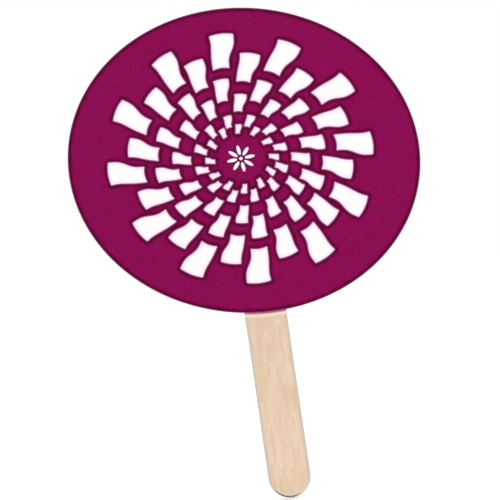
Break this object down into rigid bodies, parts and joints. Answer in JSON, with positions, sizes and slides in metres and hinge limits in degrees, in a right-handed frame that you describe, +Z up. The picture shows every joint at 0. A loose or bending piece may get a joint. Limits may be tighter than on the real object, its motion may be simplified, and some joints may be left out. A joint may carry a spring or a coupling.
{
  "type": "hand fan",
  "caption": "Paddle hand fan: a printed oval card blade, two cards bonded face to face, on a flat wooden stick handle with half-round ends.",
  "frame": {"origin": "middle of the stick's thickness and width, halfway along the part of the handle that shows, where a hand holds it", "axes": "+Z up the stick towards the blade, +Y out of the back, so the printed front faces -Y, +X to the right as seen from the front"},
  "size_m": [0.2109, 0.0036, 0.2968],
  "materials": {
    "printed_front": "satin",
    "printed_back": "matte",
    "birch_stick": "matte",
    "adhesive_film": "satin",
    "stick_tape": "satin"
  },
  "bodies": {
    "root": {"front_card": "printed_front", "back_card": "printed_back", "handle_stick": "birch_stick", "card_bonding_film": "adhesive_film", "stick_tape_front": "stick_tape", "stick_tape_back": "stick_tape"}
  },
  "joints": []
}
